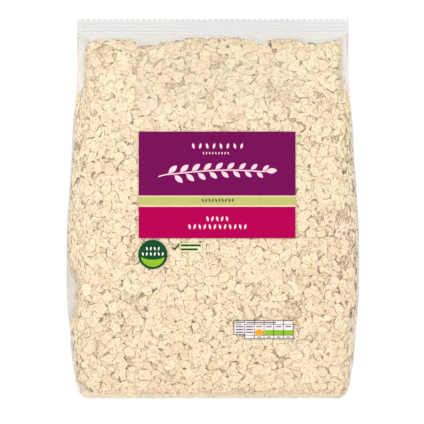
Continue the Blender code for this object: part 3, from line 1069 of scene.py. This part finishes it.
def make_sprig(material):
    """The pale sprig across the purple field, a stem with grains hanging to both sides."""
    one = thin_shape("sprig_grain", [(x + 5.4, z) for x, z in grain(0, 0, 7.8, 3.7, math.pi / 2, 8)])
    stalk = thin_shape("sprig_stalk", [(-0.2, -0.16), (2.4, -0.12), (2.4, 0.12), (-0.2, 0.16)])
    curve = bpy.data.curves.new("sprig_stem", "CURVE")
    curve.dimensions = "3D"
    line = curve.splines.new("POLY")
    stem = [(-32.0 + 66.0 * t, 157.6 + 2.2 * math.sin(3.0 * t - 0.4)) for t in np.linspace(0, 1, 34)]
    line.points.add(len(stem) - 1)
    for point, (x, z) in zip(line.points, stem):
        point.co = (x * MM, 0.0, z * MM, 1.0)
    holder = new_object("sprig_stem", curve)
    tree, names = sprig_tree(one, stalk, material)
    modifier = holder.modifiers.new("sprig", "NODES")
    modifier.node_group = tree
    modifier[names["Grains"]] = 17
    modifier[names["Spread"]] = 0.72
    sprig = made_plain(holder, "print_sprig")
    for obj in (holder, one, stalk):
        bpy.data.objects.remove(obj, do_unlink=True)
    lay_on_film(sprig, 0.22)
    full = [(-38.0, 155.2), (-35.0, 156.2)] + stem + [(37.0, 158.9)]
    bars = []
    for (xa, za), (xb, zb) in zip(full, full[1:]):
        bars.append([(xa, za - 0.4), (xb + 0.05, zb - 0.4), (xb + 0.05, zb + 0.4), (xa, za + 0.4)])
    tip = grain(41.0, 159.3, 7.8, 3.7, math.pi / 2 - 0.1, 8)
    return [sprig, flat_piece("print_sprig_stem", bars + [tip], 0.2, material)]


def make_print():
    """All print on the front: the colour fields, their ornaments, the roundel and the table."""
    purple = ink("purple ink", (0.145, 0.004, 0.078))
    lime = ink("lime ink", (0.437, 0.433, 0.14))
    magenta = ink("magenta ink", (0.365, 0.0, 0.068))
    pale_pink = ink("pale pink ink", (0.80, 0.53, 0.60))
    cream = ink("cream ink", (0.76, 0.58, 0.42))
    white = ink("pale ink", (0.86, 0.84, 0.80))
    pale_green = ink("pale green ink", (0.68, 0.66, 0.37))
    olive = ink("olive ink", (0.09, 0.11, 0.02))
    green = ink("dark green ink", (0.008, 0.062, 0.02))
    leaf = ink("leaf green ink", (0.22, 0.42, 0.02))
    lilac = ink("pale lilac ink", (0.76, 0.69, 0.69))
    grey = ink("grey ink", (0.055, 0.045, 0.05))
    soft_grey = ink("soft grey ink", (0.17, 0.14, 0.16))
    amber = ink("amber ink", (0.80, 0.32, 0.012))
    left, right = -51.8, 57.7
    # Name, the part's node, slot, shapes, how far off the film, ink.
    pieces = [
        ("print_purple_field", "label_upper", "print_purple",
         [("bar", left, right, 142.0, 186.7)], 0.10, purple),
        ("print_lime_band", "label_band", "print_lime", [("bar", left, right, 135.2, 141.2)], 0.10, lime),
        ("print_magenta_field", "label_lower", "print_magenta",
         [("bar", left, right, 112.2, 134.2)], 0.10, magenta),
        ("print_pale_edge", None, "print_lime", [("bar", left, right, 134.0, 142.2)], 0.03, cream),
        ("print_upper_rows", None, "print_purple",
         grain_row(-16.0, 22.5, 176.6, 4.2, 8) + grain_row(-7.6, 11.8, 171.6, 2.0, 9), 0.18, pale_pink),
        ("print_band_row", None, "print_lime", grain_row(-8.2, 15.0, 138.7, 3.0, 10), 0.18, olive),
        ("print_lower_rows", None, "print_magenta",
         grain_row(-5.4, 11.6, 125.8, 3.8, 5) + grain_row(-18.0, 24.4, 120.3, 3.8, 12), 0.18, pale_pink),
        ("print_roundel", "roundel", "print_green", [circle(-41.9, 100.9, 10.2)], 0.10, green),
        ("print_roundel_rows", None, "print_green",
         grain_row(-47.4, -36.4, 105.0, 2.7, 4) + grain_row(-50.2, -33.6, 101.3, 2.7, 6), 0.18, white),
        ("print_roundel_crescent", None, "print_green", [crescent(-41.9, 100.9, 8.6)], 0.18, leaf),
        ("print_tick_ground", None, "print_green", [("bar", -23.0, -7.4, 102.9, 108.9)], 0.04, pale_green),
        ("print_tick", None, "print_green", [
            [(-28.6, 105.6), (-27.9, 106.3), (-26.6, 105.1), (-23.9, 108.7), (-23.2, 108.1), (-26.5, 103.6)],
            ("bar", -22.4, -8.4, 106.6, 108.0), ("bar", -22.4, -10.6, 103.8, 105.2)], 0.10, green),
        ("print_table", "nutrition_panel", "print_lilac",
         [("bar", 14.7, 22.1, 45.1, 54.8), ("bar", 22.4, 56.1, 42.2, 54.8)], 0.06, lilac),
        ("print_table_lines", None, "print_lilac", table_lines(), 0.16, grey),
        ("print_table_marks", None, "print_lilac", table_marks(), 0.16, soft_grey),
        ("print_table_amber", None, "print_lilac", [
            [(29.0, 46.4), (30.2, 48.2), (32.3, 49.0), (34.4, 48.2), (35.5, 47.4), (35.5, 44.8),
             (30.0, 44.8)],
        ], 0.12, amber),
        ("print_table_green", None, "print_lilac", [("bar", 36.2, 56.0, 44.7, 48.2)], 0.12, leaf),
    ]
    for name, node, slot, shapes, lift, material in pieces:
        piece = flat_piece(name, shapes, lift, material)
        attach(piece, "root")
        if node:
            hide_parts(node)
    for piece in make_sprig(pale_pink):
        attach(piece, "root")


def crescent(x, z, radius, count=16):
    """A plain crescent lying in the lower half of the roundel."""
    turns = np.linspace(math.pi * 1.08, math.pi * 1.92, count)
    lower = [(x + radius * math.cos(a), z + radius * math.sin(a)) for a in turns]
    upper = [(px, z + (pz - z) * 0.35 - 0.6) for px, pz in reversed(lower[1:-1])]
    return lower + upper


def table_lines():
    """Ruled lines of the nutrition table."""
    lines = [("bar", x - 0.2, x + 0.2, low, 54.8) for x, low in (
        (14.75, 45.1), (22.2, 42.2), (28.9, 42.2), (35.7, 42.2), (42.4, 42.2), (49.2, 42.2), (56.0, 42.2))]
    lines += [
        ("bar", 14.6, 56.1, 54.5, 54.9), ("bar", 22.2, 56.1, 52.0, 52.3), ("bar", 14.6, 22.2, 44.9, 45.3),
        ("bar", 22.2, 56.1, 44.4, 44.7), ("bar", 22.2, 56.1, 42.0, 42.4),
    ]
    return lines


def table_marks():
    """Short plain bars in the cells."""
    marks = [("bar", 15.4, 21.6, 53.3, 54.0), ("bar", 15.4, 20.2, 52.0, 52.6)]
    for z in (50.6, 48.6, 46.6):
        marks.append(("bar", 15.9, 21.2, z - 0.45, z + 0.45))
        marks.append(("bar", 23.2, 28.0, z - 0.45, z + 0.45))
    for x in (32.3, 39.0, 45.8, 52.6):
        marks.append(("bar", x - 2.0, x + 2.0, 50.2, 51.0))
        marks.append(("bar", x - 1.2, x + 1.2, 42.9, 43.6))
    marks.append(("bar", 23.4, 44.0, 53.0, 53.8))
    return marks


def make_floor():
    """A pale floor that reaches far past the picture."""
    corners = [(-2500, -4500, 0), (2500, -4500, 0), (2500, 2500, 0), (-2500, 2500, 0)]
    floor = piece_from("floor", corners, [(0, 1, 2, 3)], False)
    floor.data.materials.append(new_material("pale floor", {
        "Base Color": (0.95, 0.95, 0.95, 1), "Roughness": 0.8,
        "Emission Color": (1, 1, 1, 1), "Emission Strength": 0.4,
    })[0])


def make_surround():
    """White for the camera, and a softer white light from all around."""
    world = bpy.data.worlds.new("white studio")
    bpy.context.scene.world = world
    world.use_nodes = True
    nodes, links = world.node_tree.nodes, world.node_tree.links
    nodes.clear()
    out = nodes.new("ShaderNodeOutputWorld")
    seen = new_node(nodes, "ShaderNodeBackground", {"Color": (1, 1, 1, 1)})
    fill = new_node(nodes, "ShaderNodeBackground", {"Color": (1, 1, 1, 1)})
    path, either = nodes.new("ShaderNodeLightPath"), nodes.new("ShaderNodeMixShader")
    facing, toward = nodes.new("ShaderNodeTexCoord"), nodes.new("ShaderNodeSeparateXYZ")
    level = new_node(nodes, "ShaderNodeMapRange", {
        "From Min": -1.0, "From Max": 0.2, "To Min": FRONT_FILL, "To Max": BACK_FILL,
    })
    links.new(facing.outputs["Generated"], toward.inputs["Vector"])
    links.new(toward.outputs["Y"], level.inputs["Value"])
    links.new(level.outputs["Result"], fill.inputs["Strength"])
    links.new(path.outputs["Is Camera Ray"], either.inputs["Fac"])
    links.new(fill.outputs["Background"], either.inputs[1])
    links.new(seen.outputs["Background"], either.inputs[2])
    links.new(either.outputs["Shader"], out.inputs["Surface"])


def make_lights():
    """Two softboxes in front, turned to the middle of the bag; place in metres, power in watts."""
    middle = Vector((0, 0, 0.13))
    for name, place, size, power in (
        ("left softbox", (-1.1, -0.9, 0.7), 0.9, 10.6),
        ("right softbox", (1.1, -0.9, 0.6), 0.9, 8.6),
    ):
        light = bpy.data.lights.new(name, "AREA")
        light.size = size
        light.energy = power
        lamp = new_object(name, light)
        lamp.location = place
        lamp.rotation_euler = (middle - Vector(place)).to_track_quat("-Z", "Y").to_euler()


def make_camera():
    """A camera straight in front and far off; seen_width is how wide it sees at the bag, in metres."""
    distance, seen_width, sensor = 8.0, 0.2968, 36.0
    data = bpy.data.cameras.new("camera")
    data.lens = sensor * distance / seen_width
    data.sensor_width = sensor
    camera = new_object("camera", data)
    camera.location = (-0.0006, -distance, 0.13055)
    camera.rotation_euler = (math.pi / 2, 0, 0)
    bpy.context.scene.camera = camera
    bpy.context.scene.view_settings.view_transform = "Standard"


def main():
    flakes = make_flakes()
    core = make_core()
    film = make_film()
    seal = make_seal()
    for piece in flakes + [core, film, make_back_seam()]:
        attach(piece, "root")
        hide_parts("bag")
    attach(seal, "root")
    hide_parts("top_seal")
    make_print()
    make_floor()
    make_surround()
    make_lights()
    make_camera()


main()
